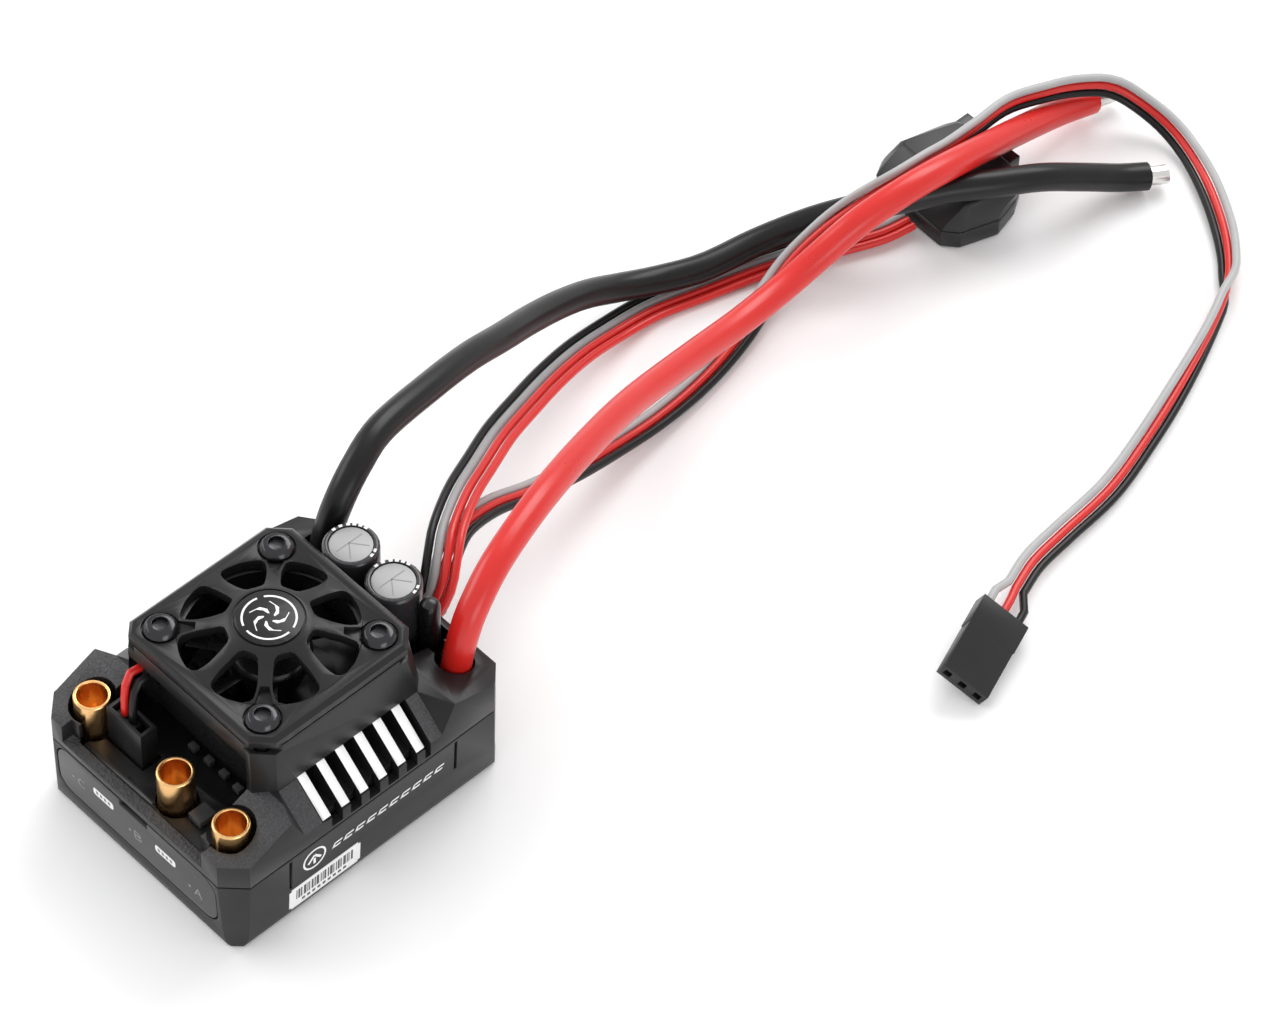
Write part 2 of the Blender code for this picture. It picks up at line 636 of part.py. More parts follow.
def fan_blade(name, turn):
    """A pitched blade from inside the hub's wall to just short of the duct."""
    centre = (FAN_X, FAN_Y, 0.0)
    rings = []
    for radius, pitch in ((5.3, 42), (8.2, 36), (11.3, 30)):
        ring = []
        half_chord = 2.5 + 0.16 * (radius - 5.3)
        for along, thick in ((-1, 0), (0, -0.32), (1, 0), (0, 0.32)):
            slope = math.radians(pitch)
            side = along * half_chord * math.cos(slope) - thick * math.sin(slope)
            rise = along * half_chord * math.sin(slope) + thick * math.cos(slope)
            angle = turn + side / radius
            ring.append((
                FAN_X + radius * math.cos(angle), FAN_Y + radius * math.sin(angle), FAN_BOTTOM + 5.6 + rise
            ))
        rings.append(ring)
    return loft(name, rings, None, centre)


def make_rotor():
    centre = (FAN_X, FAN_Y, 0.0)
    hub_profile = (
        (0, FAN_BOTTOM + 0.7), (0.95, FAN_BOTTOM + 0.7), (0.95, FAN_BOTTOM + 7.4), (4.9, FAN_BOTTOM + 7.4),
        (4.9, FAN_BOTTOM + 2.1), (5.6, FAN_BOTTOM + 2.1), (5.6, FAN_BOTTOM + 8.3), (5.1, FAN_BOTTOM + 8.9),
        (0, FAN_BOTTOM + 8.9),
    )
    rotor = turned("fan_rotor", hub_profile, MEDIUM, (FAN_X, FAN_Y), fan_plastic(), centre)
    blades = [fan_blade(f"blade_{i}", 2 * math.pi * i / 7) for i in range(7)]
    join(rotor, *blades)
    return rotor


def make_fan_screws():
    for i, spot in enumerate(fan_screw_spots()):
        seat = GUARD_TOP - 0.55
        profile = (
            (0, 17.0), (1.05, 17.6), (1.05, seat + 0.3), (2.4, seat + 0.3), (2.4, seat + 0.65),
            (1.9, seat + 1.3), (1.15, seat + 1.5), (1.15, seat + 0.7), (0, seat + 0.7),
        )
        turned(f"fan_screw_{i + 1}", profile, COARSE, spot, screw_steel())


def make_case_screws():
    for i, spot in enumerate(CASE_SCREWS):
        profile = ((0, 0.35), (1.75, 0.35), (1.75, 1.35), (0.95, 1.35), (0.95, 16.4), (0, 17.2))
        turned(f"case_screw_{i + 1}", profile, COARSE, spot, screw_steel())


# ---------------------------------------------------------------- heat sink and boards

def make_heat_sink():
    outline = rectangle(-17.7, 17.7, WINDOW_FRONT + 0.35, WINDOW_BACK - 0.35)
    sink = prism("heat_sink", outline, 13.0, 14.6, fin_metal())
    for i in range(FIN_COUNT):
        middle = FIN_FIRST_Y + i * FIN_PITCH
        profile = [
            (-17.7, 14.2), (17.7, 14.2), (17.7, 15.6), (19.3, 15.6), (14.35, 20.2), (13.75, 20.2),
            (13.6, 18.7), (-13.6, 18.7), (-13.75, 20.2), (-14.35, 20.2), (-19.3, 15.6), (-17.7, 15.6),
        ]
        join(sink, prism_along_y(f"fin_{i}", profile, middle - FIN_THICK / 2, middle + FIN_THICK / 2))
    for i, spot in enumerate(fan_screw_spots()[2:]):
        cut(sink, cylinder(f"boss_room_{i}", FAN_BOSS_R + 0.35, 16.0, 30.0, COARSE, spot))
    return sink


def make_main_board():
    outline = cut_rectangle(-17.3, 17.3, -22.0, 22.2, 2.6)
    board = prism("main_board", outline, BOARD_TOP - BOARD_THICK, BOARD_TOP, board_green())
    for i, spot in enumerate(CASE_SCREWS):
        cut(board, cylinder(f"board_notch_{i}", 2.4, 8.0, 13.0, MEDIUM, spot))
    return board


def make_board_parts():
    low = BOARD_TOP + 0.3
    for i, x in enumerate((-10.5, -3.5, 3.5, 10.5)):
        box(f"power_chip_{i + 1}", (x - 2.5, x + 2.5), (-3.2, 2.8), (low, low + 0.6), chip_epoxy())
    box("thermal_pad", (-13.4, 13.4), (-5.0, 5.0), (low + 0.9, low + 1.2), pad_rubber())
    for i, (x, y) in enumerate(SMALL_CHIPS):
        spans = ((x - 0.65, x + 0.65), (y - 0.5, y + 0.5), (low, low + 0.9))
        box(f"small_chip_{i + 1}", *spans, chip_ceramic())


def make_terminal_shelf():
    """The moulded insulator between the front wall and the fan tower, through which the sockets rise."""
    shelf = box("terminal_shelf", (-12.6, 10.9), (-22.4, -14.8), (12.2, 13.2), connector_plastic())
    for key, spot in SOCKETS.items():
        cut(shelf, cylinder(f"shelf_hole_{key}", SOCKET_R + 0.35, 10.0, 16.0, MEDIUM, spot))
    (left, right), (front, back) = HEADER_PLAN
    cut(shelf, box("shelf_header_gap", (left - 0.3, right + 0.3), (front - 0.3, back + 0.3), (10, 16)))
    cut(shelf, box("mark_bar", (-4.6, -3.0), (-21.6, -21.2), (13.0, 14.0)))
    cut(shelf, box("mark_dash", (0.8, 2.4), (-22.1, -21.8), (13.0, 14.0)))
    return shelf


def make_sockets():
    for key, spot in SOCKETS.items():
        low = BOARD_TOP + 0.3
        profile = (
            (0, low), (SOCKET_R, low), (SOCKET_R, SOCKET_TOP - 0.2), (SOCKET_R - 0.15, SOCKET_TOP),
            (SOCKET_BORE_R + 0.1, SOCKET_TOP), (SOCKET_BORE_R, SOCKET_TOP - 0.15), (SOCKET_BORE_R, low + 1.6),
            (0, low + 1.6),
        )
        turned(f"motor_socket_{key}", profile, MEDIUM, spot, socket_gold())


def make_light_pipe():
    return box("light_pipe", (5.9, 8.3), (-20.2, -17.4), (13.5, 14.6), light_pipe_plastic())


def make_fan_connector():
    low = BOARD_TOP + 0.3
    header = box("fan_header", *HEADER_PLAN, (low, HEADER_TOP), connector_plastic())
    cut(header, box("fan_header_well", (-10.8, -4.95), (-18.65, -16.95), (14.0, 22.0)))
    box("fan_plug", (-10.5, -6.5), (-18.4, -17.2), (14.3, 18.9), connector_plastic())


# ---------------------------------------------------------------- capacitors

def make_capacitors():
    for i, (x, y) in enumerate(CAPACITORS):
        low = BOARD_TOP + 0.3
        top = CAPACITOR_TOP
        can = (
            (0, low), (3.5, low), (3.5, top - 0.9), (3.0, top - 0.5), (3.0, top - 0.15), (0, top - 0.15)
        )
        turned(f"capacitor_{i + 1}", can, MEDIUM, (x, y), can_metal())
        sleeve = (
            (3.65, SLEEVE_LOW), (CAPACITOR_R, SLEEVE_LOW), (CAPACITOR_R, top - 0.4), (3.6, top),
            (3.15, top), (3.15, top - 0.42), (3.65, top - 0.75),
        )
        turned(f"capacitor_sleeve_{i + 1}", sleeve, MEDIUM, (x, y), sleeve_film())
    small = ((0, 11.5), (1.45, 11.5), (1.45, 24.6), (1.2, 25.2), (0.7, 25.55), (0, 25.65))
    turned("filter_capacitor", small, COARSE, (7.6, 20.7), fan_plastic())


# ---------------------------------------------------------------- wires

def smooth_route(points, step):
    """Points at about one step apart on a smooth curve through the route's points."""
    route = [Vector(p) for p in points]
    padded = [2 * route[0] - route[1], *route, 2 * route[-1] - route[-2]]
    dense = []
    for i in range(1, len(padded) - 2):
        p0, p1, p2, p3 = padded[i - 1:i + 3]
        for k in range(16):
            t = k / 16
            dense.append(0.5 * (
                2 * p1 + (p2 - p0) * t + (2 * p0 - 5 * p1 + 4 * p2 - p3) * t * t
                + (3 * p1 - p0 - 3 * p2 + p3) * t * t * t
            ))
    dense.append(route[-1])
    lengths = [0.0]
    for a, b in zip(dense, dense[1:]):
        lengths.append(lengths[-1] + (b - a).length)
    count = max(2, round(lengths[-1] / step))
    sampled = []
    at = 0
    for k in range(count + 1):
        wanted = lengths[-1] * k / count
        while at < len(dense) - 2 and lengths[at + 1] < wanted:
            at += 1
        share = (wanted - lengths[at]) / max(1e-9, lengths[at + 1] - lengths[at])
        sampled.append(dense[at].lerp(dense[at + 1], min(1.0, share)))
    return sampled


def turn_at(share, turns):
    for (start, a), (end, b) in zip(turns, turns[1:]):
        if share <= end:
            return math.radians(a + (b - a) * (share - start) / (end - start))
    return math.radians(turns[-1][1])


def strand_route(centre, turns, offset, last_points=()):
    """The centre line moved sideways, by offset towards the left of travel, turned about the lead."""
    moved = []
    for i, point in enumerate(centre):
        ahead = centre[min(i + 1, len(centre) - 1)] - centre[max(i - 1, 0)]
        if i == 0:
            ahead = LEAD_EXIT
        left = Vector((0, 0, 1)).cross(ahead).normalized()
        over = ahead.normalized().cross(left)
        angle = turn_at(i / (len(centre) - 1), turns)
        moved.append(point + offset * (math.cos(angle) * left + math.sin(angle) * over))
    return moved + list(last_points)


def tube(name, points, diameter, sides_level, skin):
    curve = bpy.data.curves.new(name, "CURVE")
    curve.dimensions = "3D"
    curve.bevel_depth = diameter / 2 * MM
    curve.bevel_resolution = sides_level
    curve.use_fill_caps = True
    line = curve.splines.new("POLY")
    line.points.add(len(points) - 1)
    for spot, point in zip(line.points, points):
        spot.co = (*(Vector(point) * MM), 1.0)
    made = bpy.data.objects.new(name, curve)
    curve.materials.append(skin)
    bpy.context.scene.collection.objects.link(made)
    return made


def make_power_wires():
    tube("power_wire_black", smooth_route(BLACK_ROUTE, 9.0), POWER_WIRE_D, 3, wire_rubber("black"))
    tube("power_wire_red", smooth_route(RED_ROUTE, 9.0), POWER_WIRE_D, 3, wire_rubber("red"))
    tube("wire_tip_black", BLACK_TIP, 2.9, 3, solder_tin())
    tube("wire_tip_red", RED_TIP, 2.9, 3, solder_tin())


def make_switch_lead():
    centre = smooth_route(SWITCH_ROUTE, 3.6)
    strands = (("black", 1.5), ("grey", 0.5), ("red", -0.5), ("red_2", -1.5))
    for name, place in strands:
        points = strand_route(centre, ((0.0, 0), (1.0, 0)), place * STRAND_PITCH)
        tube(f"switch_lead_{name}", points, STRAND_D, 2, wire_rubber(name.split("_")[0]))


def plug_frame():
    """The plug's axes: across to its lower edge, along to its contacts, and out of its top face."""
    heading = math.radians(PLUG_HEADING)
    roll = math.radians(PLUG_ROLL)
    along = Vector((math.cos(heading), math.sin(heading), 0))
    level = Vector((-math.sin(heading), math.cos(heading), 0))
    across = level * math.cos(roll) - Vector((0, 0, math.sin(roll)))
    out = across.cross(along) * -1
    if out.z < 0:
        out = -out
    return across, along, out


def plug_point(across, along, depth):
    """A point by its distance from the plug's marked corner across, along and down from its top face."""
    x_axis, y_axis, z_axis = plug_frame()
    return Vector(PLUG_CORNER) + across * x_axis + along * y_axis - depth * z_axis


def make_receiver_lead():
    centre = smooth_route(RECEIVER_ROUTE, 3.7)
    for name, place in (("white", 1), ("red", 0), ("black", -1)):
        across = PLUG_WIDTH / 2 - place * PLUG_PITCH
        entry = [
            plug_point(across, -2.6, PLUG_THICK / 2), plug_point(across, -0.3, PLUG_THICK / 2)
        ]
        points = strand_route(centre, RECEIVER_TURNS, place * STRAND_PITCH, entry)
        tube(f"receiver_lead_{name}", points, STRAND_D, 2, wire_rubber(name))


def plug_block(name, across, along, depth, skin=None):
    """A block in the plug's own axes."""
    rings = []
    for far in along:
        rings.append([plug_point(a, far, d) for a, d in (
            (across[0], depth[0]), (across[1], depth[0]), (across[1], depth[1]), (across[0], depth[1])
        )])
    return loft(name, rings, skin)


def make_receiver_plug():
    across = (0.12, PLUG_WIDTH - 0.12)
    plug = plug_block("receiver_plug", across, (4.5, PLUG_LENGTH), (0.08, PLUG_THICK), connector_plastic())
    join(plug, plug_block("plug_collar", (0, PLUG_WIDTH), (0, 5.1), (0, PLUG_THICK)))
    for i in range(3):
        middle = PLUG_WIDTH / 2 + (i - 1) * PLUG_PITCH
        hole = ((middle - 0.55, middle + 0.55), (PLUG_LENGTH - 5, 20), (0.75, 1.85))
        cut(plug, plug_block(f"plug_hole_{i}", *hole))
    return plug


def make_fan_leads():
    red = (
        (-9.1, -17.8, 19.2), (-9.3, -17.6, 21.5), (-9.7, -17.0, 24.0), (-10.0, -15.9, 25.3),
        (-9.9, -14.2, 25.2),
    )
    black = (
        (-7.6, -17.8, 19.2), (-7.9, -17.4, 21.5), (-8.3, -16.7, 23.6), (-8.4, -15.6, 24.8),
        (-8.4, -14.2, 24.8),
    )
    tube("fan_lead_red", smooth_route(red, 1.6), FAN_LEAD_D, 2, wire_rubber("red"))
    tube("fan_lead_black", smooth_route(black, 1.6), FAN_LEAD_D, 2, wire_rubber("black"))


def make_lead_grommet():
    """The soft block in the case's notch that holds the seven thin strands."""
    return box("lead_grommet", (-0.4, 5.4), (23.4, 24.4), (13.7, 17.1), grommet_rubber())


# ---------------------------------------------------------------- switch

def between_outlines(first, second, share):
    return [(a + (c - a) * share, b + (d - b) * share) for (a, b), (c, d) in zip(first, second)]


def make_switch():
    low, seam, top = SWITCH_FOOT_Z, SWITCH_SEAM_Z, SWITCH_TOP_Z
    prism("switch_base", SWITCH_BASE, low, seam, connector_plastic())
    middle = between_outlines(SWITCH_BASE, SWITCH_TOP, 0.14)
    upper = between_outlines(SWITCH_BASE, SWITCH_TOP, 0.88)
    centre_x = sum(x for x, _ in SWITCH_TOP) / len(SWITCH_TOP)
    centre_y = sum(y for _, y in SWITCH_TOP) / len(SWITCH_TOP)
    crown = [(centre_x + 0.96 * (x - centre_x), centre_y + 0.94 * (y - centre_y)) for x, y in SWITCH_TOP]
    levels = ((SWITCH_BASE, seam + 0.3), (middle, seam + 1.2), (upper, top - 0.5), (crown, top))
    cover = loft("switch_cover", [[(x, y, z) for x, y in ring] for ring, z in levels], connector_plastic())
    slot = ((KNOB_X - 1.5, KNOB_X + KNOB_TRAVEL + 1.5), (147.4, 156.0), (KNOB_Z - 1.1, KNOB_Z + 1.1))
    well = ((SET_BUTTON_X - 1.6, SET_BUTTON_X + 1.6), (146.6, 156.0), (KNOB_Z - 1.4, KNOB_Z + 1.4))
    cut(cover, box("knob_slot", *slot), box("button_well", *well))
    knob = ((KNOB_X - 1.2, KNOB_X + 1.2), (147.7, 151.9), (KNOB_Z - 0.8, KNOB_Z + 0.8))
    box("switch_knob", *knob, fan_plastic(), (KNOB_X, 148.0, KNOB_Z))
    button = ((SET_BUTTON_X - 1.3, SET_BUTTON_X + 1.3), (148.0, 151.0), (KNOB_Z - 1.2, KNOB_Z + 1.2))
    box("set_button", *button, fan_plastic(), (SET_BUTTON_X, 148.0, KNOB_Z))


def main():
    clear_scene()
    make_lower_case()
    make_front_panel()
    make_upper_case()
    make_guard()
    make_fan_frame()
    make_stator()
    make_rotor()
    make_fan_screws()
    make_case_screws()
    make_heat_sink()
    make_main_board()
    make_board_parts()
    make_terminal_shelf()
    make_sockets()
    make_light_pipe()
    make_fan_connector()
    make_capacitors()
    make_fan_leads()
    make_lead_grommet()
    make_power_wires()
    make_switch_lead()
    make_receiver_lead()
    make_receiver_plug()
    make_switch()


main()
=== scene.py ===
import json
import math

import bmesh
import bpy
from mathutils import Matrix, Vector


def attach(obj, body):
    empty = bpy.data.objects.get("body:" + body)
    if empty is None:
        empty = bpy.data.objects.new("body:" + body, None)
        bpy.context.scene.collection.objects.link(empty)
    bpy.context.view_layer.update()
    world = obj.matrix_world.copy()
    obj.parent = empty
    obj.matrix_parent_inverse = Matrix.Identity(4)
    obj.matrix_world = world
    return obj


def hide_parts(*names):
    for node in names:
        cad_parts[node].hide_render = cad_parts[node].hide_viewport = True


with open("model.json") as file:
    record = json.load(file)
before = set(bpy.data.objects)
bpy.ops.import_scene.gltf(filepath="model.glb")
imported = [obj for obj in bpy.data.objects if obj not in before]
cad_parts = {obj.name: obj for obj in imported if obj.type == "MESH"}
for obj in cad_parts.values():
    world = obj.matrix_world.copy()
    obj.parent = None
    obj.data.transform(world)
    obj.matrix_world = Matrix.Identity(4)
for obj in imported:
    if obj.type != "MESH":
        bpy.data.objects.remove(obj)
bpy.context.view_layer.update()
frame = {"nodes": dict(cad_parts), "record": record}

MM = 0.001
CASE = "case"

# Camera, in metres and degrees
EYE = Vector((0.34267, -0.28303, 0.58924))
TARGET = Vector((0.00034, 0.06691, 0.0))
CAMERA_ROLL = 2.42
LENS = 154.44

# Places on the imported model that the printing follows, in millimetres
CASE_HALF_X = 19.5
CASE_HALF_Y = 24.4
SEAM_Z = 12.6
FAN_X = 0.7
FAN_Y = -1.0
HUB_TOP = 34.2
CAPACITORS = ((-6.1, 19.1), (2.3, 19.1))
CAN_TOP = 26.35
SLEEVE_TOP = 26.5

# Printing, in millimetres
SIDE_LABEL = (-14.8, -2.4, 1.6, 5.2)
ROUND_MARK = (-10.4, 9.2)
DASH_START = -7.4
DASH_PITCH = 2.0
PHASE_LETTERS = (("C", -11.8, 7.1), ("B", -0.4, 6.6), ("A", 11.5, 6.2))
LETTER_SIZE = 1.7
STROKE_WIDTH = 0.22
PILLS = ((-6.6, 9.1), (5.8, 8.8))
PILL_HALF = (1.6, 0.3)
PILL_ROUND = 0.4
HUB_RING = 3.7

# Cord routes, in millimetres
BLACK_ROUTE = (
    (-13.1, 20.1, 14.0), (-12.8, 20.2, 18.5), (-12.4, 20.8, 23.0), (-12.4, 22.6, 27.0),
    (-13.4, 26.5, 30.0), (-15.6, 33.0, 30.8), (-18.5, 44.5, 28.0), (-21.2, 54.0, 24.4),
    (-23.5, 62.5, 20.2), (-25.8, 70.0, 16.2), (-27.6, 77.5, 12.3), (-28.6, 84.0, 8.8),
    (-28.4, 90.0, 5.8), (-26.8, 96.0, 4.2), (-24.2, 103.0, 3.9), (-22.4, 112.0, 4.1),
    (-19.2, 119.5, 5.6), (-14.9, 124.6, 8.1), (-10.7, 129.2, 9.9), (-7.2, 135.2, 10.5),
    (-3.6, 141.1, 10.3), (-0.5, 147.6, 9.4), (1.9, 154.8, 6.2), (3.8, 160.6, 3.4), (5.9, 164.6, 2.5),
)
RED_ROUTE = (
    (13.2, 20.1, 14.0), (13.4, 20.2, 18.5), (13.7, 20.9, 23.0), (13.2, 23.2, 27.0),
    (11.4, 29.0, 30.2), (7.9, 39.0, 30.2), (4.0, 49.0, 27.4), (0.0, 59.0, 23.3),
    (-2.8, 66.5, 20.0), (-5.2, 74.0, 16.6), (-8.3, 86.0, 11.8), (-10.2, 96.5, 8.8),
    (-10.9, 106.0, 8.6), (-10.4, 112.8, 10.8), (-9.2, 119.0, 14.0), (-8.0, 126.2, 15.7),
    (-7.7, 133.6, 15.2), (-8.4, 143.0, 12.3), (-9.6, 153.2, 8.4), (-10.4, 162.6, 4.9),
    (-9.9, 169.4, 3.1),
)
SWITCH_ROUTE = (
    (2.5, 24.9, 16.3), (2.5, 25.9, 17.2), (1.8, 27.6, 19.0), (-0.2, 30.2, 20.7), (-2.9, 33.6, 21.1),
    (-7.1, 40.0, 19.5), (-10.9, 47.0, 17.0), (-14.6, 54.0, 14.4), (-18.0, 62.0, 11.4),
    (-21.2, 70.0, 8.3), (-23.8, 78.0, 5.2), (-25.4, 86.0, 2.4), (-25.6, 94.0, 1.0),
    (-23.6, 102.0, 0.8), (-21.4, 110.0, 0.8), (-18.9, 117.5, 0.8), (-16.0, 124.0, 0.9),
    (-13.9, 129.0, 1.1), (-13.0, 133.4, 1.3),
)
RECEIVER_ROUTE = (
    (2.5, 24.8, 14.7), (2.5, 26.1, 15.4), (1.2, 28.6, 17.0), (-0.9, 31.6, 18.0), (-3.7, 36.8, 17.4),
    (-5.4, 44.0, 14.8), (-6.0, 52.0, 11.0), (-7.1, 61.0, 7.0), (-8.6, 71.0, 3.4),
    (-9.6, 80.5, 1.4), (-10.8, 90.0, 0.8), (-12.8, 99.0, 1.0), (-15.2, 107.0, 2.4),
    (-16.0, 112.8, 5.0), (-15.0, 117.8, 8.4), (-13.2, 122.3, 11.6), (-11.6, 127.0, 13.9),
    (-11.2, 132.8, 14.3), (-11.6, 139.0, 12.8), (-12.4, 146.0, 11.5), (-12.9, 153.5, 10.9),
    (-11.4, 159.8, 10.2), (-9.9, 165.5, 8.8), (-7.3, 170.7, 7.0), (-3.2, 173.5, 4.4),
    (2.4, 174.3, 2.5), (9.6, 172.2, 1.7), (16.3, 168.7, 1.3), (22.9, 163.7, 1.6),
    (28.2, 157.7, 2.1), (32.3, 149.6, 2.1), (36.4, 138.9, 1.9), (39.9, 128.1, 1.7),
    (42.7, 117.4, 1.6), (43.8, 106.9, 1.8), (44.8, 99.7, 2.3), (46.8, 93.9, 2.9),
)
RECEIVER_TURNS = (
    (0.0, 0), (0.36, 0), (0.44, 90), (0.54, 88), (0.60, 78), (0.645, 52),
    (0.69, 14), (0.735, 45), (0.765, 105), (0.86, 140), (0.93, 152), (1.0, 152),
)
WORLD_LIGHT = 0.86
POWER_WIRE_D = 4.25
STRAND_D = 1.22
STRAND_PITCH = 1.35
PLUG_PITCH = 2.54
PLUG_CORNER = (46.2, 88.1, 6.0)
PLUG_HEADING = -69.5
PLUG_ROLL = 28.0
PLUG_WIDTH = 7.75
PLUG_THICK = 2.55


# ---------------------------------------------------------------- camera and light

def make_camera():
    """The viewpoint: azimuth 44 degrees, elevation 50, with a long lens and a small roll."""
    back = (EYE - TARGET).normalized()
    right = Vector((0, 0, 1)).cross(back).normalized()
    up = back.cross(right)
    roll = math.radians(CAMERA_ROLL)
    rolled_right = right * math.cos(roll) + up * math.sin(roll)
    rolled_up = up * math.cos(roll) - right * math.sin(roll)
    data = bpy.data.cameras.new("view")
    data.lens = LENS
    data.sensor_width = 36.0
    data.clip_start = 0.01
    camera = bpy.data.objects.new("view", data)
    turn = Matrix((rolled_right, rolled_up, back)).transposed().to_4x4()
    camera.matrix_world = Matrix.Translation(EYE) @ turn
    bpy.context.scene.collection.objects.link(camera)
    bpy.context.scene.camera = camera


def add_softbox(name, place, aim, size, power):
    data = bpy.data.lights.new(name, "AREA")
    data.shape = "RECTANGLE"
    data.size, data.size_y = size
    data.energy = power
    lamp = bpy.data.objects.new(name, data)
    lamp.location = place
    lamp.rotation_euler = (Vector(aim) - Vector(place)).to_track_quat("-Z", "Y").to_euler()
    bpy.context.scene.collection.objects.link(lamp)


def make_light():
    world = bpy.data.worlds.new("studio")
    world.use_nodes = True
    world.node_tree.nodes["Background"].inputs["Color"].default_value = (1.0, 1.0, 1.0, 1.0)
    world.node_tree.nodes["Background"].inputs["Strength"].default_value = WORLD_LIGHT
    bpy.context.scene.world = world
    bpy.context.scene.view_settings.view_transform = "Standard"
    add_softbox("back_box", (-0.25, 0.75, 0.75), (0, 0.05, 0), (0.8, 0.5), 5.5)
    add_softbox("left_box", (-0.85, -0.35, 0.55), (0, 0.05, 0), (0.8, 0.5), 4.0)
    add_softbox("right_box", (0.9, -0.25, 0.35), (0, 0.0, 0), (0.5, 0.4), 1.6)


# ---------------------------------------------------------------- materials

def new_material(name):
    made = bpy.data.materials.new(name)
    made.use_nodes = True
    return made, made.node_tree, made.node_tree.nodes["Principled BSDF"]


def grained(
    name, colour, roughness, metallic=0.0, mottle=0.12, grain=0.0004, bump=0.15, shine=0.5, cloudy=260.0
):
    """A finish with a little mottling in its colour and roughness, and a fine grain."""
    made, tree, shader = new_material(name)
    nodes, links = tree.nodes, tree.links
    place = nodes.new("ShaderNodeTexCoord")
    cloud = nodes.new("ShaderNodeTexNoise")
    cloud.inputs["Scale"].default_value = cloudy
    cloud.inputs["Detail"].default_value = 4.0
    links.new(place.outputs["Object"], cloud.inputs["Vector"])
    ramp = nodes.new("ShaderNodeMixRGB")
    ramp.inputs["Color1"].default_value = (*[c * (1 - mottle) for c in colour], 1.0)
    ramp.inputs["Color2"].default_value = (*[min(1.0, c * (1 + mottle)) for c in colour], 1.0)
    links.new(cloud.outputs["Fac"], ramp.inputs["Fac"])
    links.new(ramp.outputs["Color"], shader.inputs["Base Color"])
    spread = nodes.new("ShaderNodeMapRange")
    spread.inputs["To Min"].default_value = max(0.02, roughness - 0.06)
    spread.inputs["To Max"].default_value = min(1.0, roughness + 0.06)
    links.new(cloud.outputs["Fac"], spread.inputs["Value"])
    links.new(spread.outputs["Result"], shader.inputs["Roughness"])
    fine = nodes.new("ShaderNodeTexNoise")
    fine.inputs["Scale"].default_value = 1.0 / grain
    fine.inputs["Detail"].default_value = 2.0
    links.new(place.outputs["Object"], fine.inputs["Vector"])
    relief = nodes.new("ShaderNodeBump")
    relief.inputs["Strength"].default_value = bump
    relief.inputs["Distance"].default_value = 0.00005
    links.new(fine.outputs["Fac"], relief.inputs["Height"])
    links.new(relief.outputs["Normal"], shader.inputs["Normal"])
    shader.inputs["Metallic"].default_value = metallic
    shader.inputs["Specular IOR Level"].default_value = shine
    return made


FINISHES = {
    "case_plastic": dict(colour=(0.02, 0.02, 0.021), roughness=0.4, bump=0.12, shine=0.3),
    "tower_plastic": dict(colour=(0.014, 0.014, 0.015), roughness=0.32, bump=0.14, shine=0.28),
    "grained_plastic": dict(
        colour=(0.04, 0.04, 0.043), roughness=0.5, mottle=0.95, grain=0.00035, bump=4.0, cloudy=3200.0
    ),
    "face_plastic": dict(colour=(0.05, 0.05, 0.052), roughness=0.45, bump=0.1),
    "fan_plastic": dict(colour=(0.007, 0.007, 0.008), roughness=0.28),
    "connector_plastic": dict(colour=(0.012, 0.012, 0.013), roughness=0.34, shine=0.4),
    "coil_copper": dict(colour=(0.6, 0.28, 0.14), roughness=0.35, metallic=1.0),
    "fin_metal": dict(colour=(0.012, 0.011, 0.011), roughness=0.5, bump=0.1),
    "bare_metal": dict(colour=(0.97, 0.97, 0.97), roughness=0.5, metallic=0.35, mottle=0.02, bump=0.04),
    "screw_steel": dict(colour=(0.05, 0.05, 0.053), roughness=0.2, metallic=0.9),
    "socket_gold": dict(colour=(0.93, 0.56, 0.24), roughness=0.26, metallic=1.0, mottle=0.05, bump=0.03),
    "can_metal": dict(colour=(0.42, 0.42, 0.42), roughness=0.6, metallic=0.3, mottle=0.05, bump=0.08),
    "sleeve_film": dict(colour=(0.03, 0.03, 0.033), roughness=0.22),
    "board_green": dict(colour=(0.008, 0.01, 0.009), roughness=0.45),
    "chip_epoxy": dict(colour=(0.03, 0.03, 0.032), roughness=0.5),
    "chip_ceramic": dict(colour=(0.09, 0.09, 0.095), roughness=0.5),
    "pad_rubber": dict(colour=(0.42, 0.44, 0.46), roughness=0.8),
    "light_pipe_plastic": dict(colour=(0.06, 0.062, 0.065), roughness=0.2),
    "grommet_rubber": dict(colour=(0.02, 0.02, 0.02), roughness=0.7),
    "wire_black": dict(colour=(0.006, 0.006, 0.0065), roughness=0.32, bump=0.05, shine=0.3),
    "wire_red": dict(colour=(0.62, 0.016, 0.012), roughness=0.3, mottle=0.05, bump=0.05),
    "wire_grey": dict(colour=(0.33, 0.33, 0.335), roughness=0.4, bump=0.05),
    "wire_white": dict(colour=(0.4, 0.4, 0.4), roughness=0.4, bump=0.05),
    "solder_tin": dict(colour=(0.72, 0.71, 0.69), roughness=0.3, metallic=1.0, bump=0.6, grain=0.0008),
    "print_white": dict(colour=(0.86, 0.86, 0.86), roughness=0.5, mottle=0.04, bump=0.05),
    "print_grey": dict(colour=(0.26, 0.26, 0.26), roughness=0.5, mottle=0.08, bump=0.05),
    "print_dark": dict(colour=(0.08, 0.08, 0.09), roughness=0.5, mottle=0.1, bump=0.05),
}
SKINS = {}


def skin(slot):
    """The finish of this name, made once."""
    if slot not in SKINS:
        SKINS[slot] = grained(slot, **FINISHES[slot])
    return SKINS[slot]


# ---------------------------------------------------------------- CAD pieces

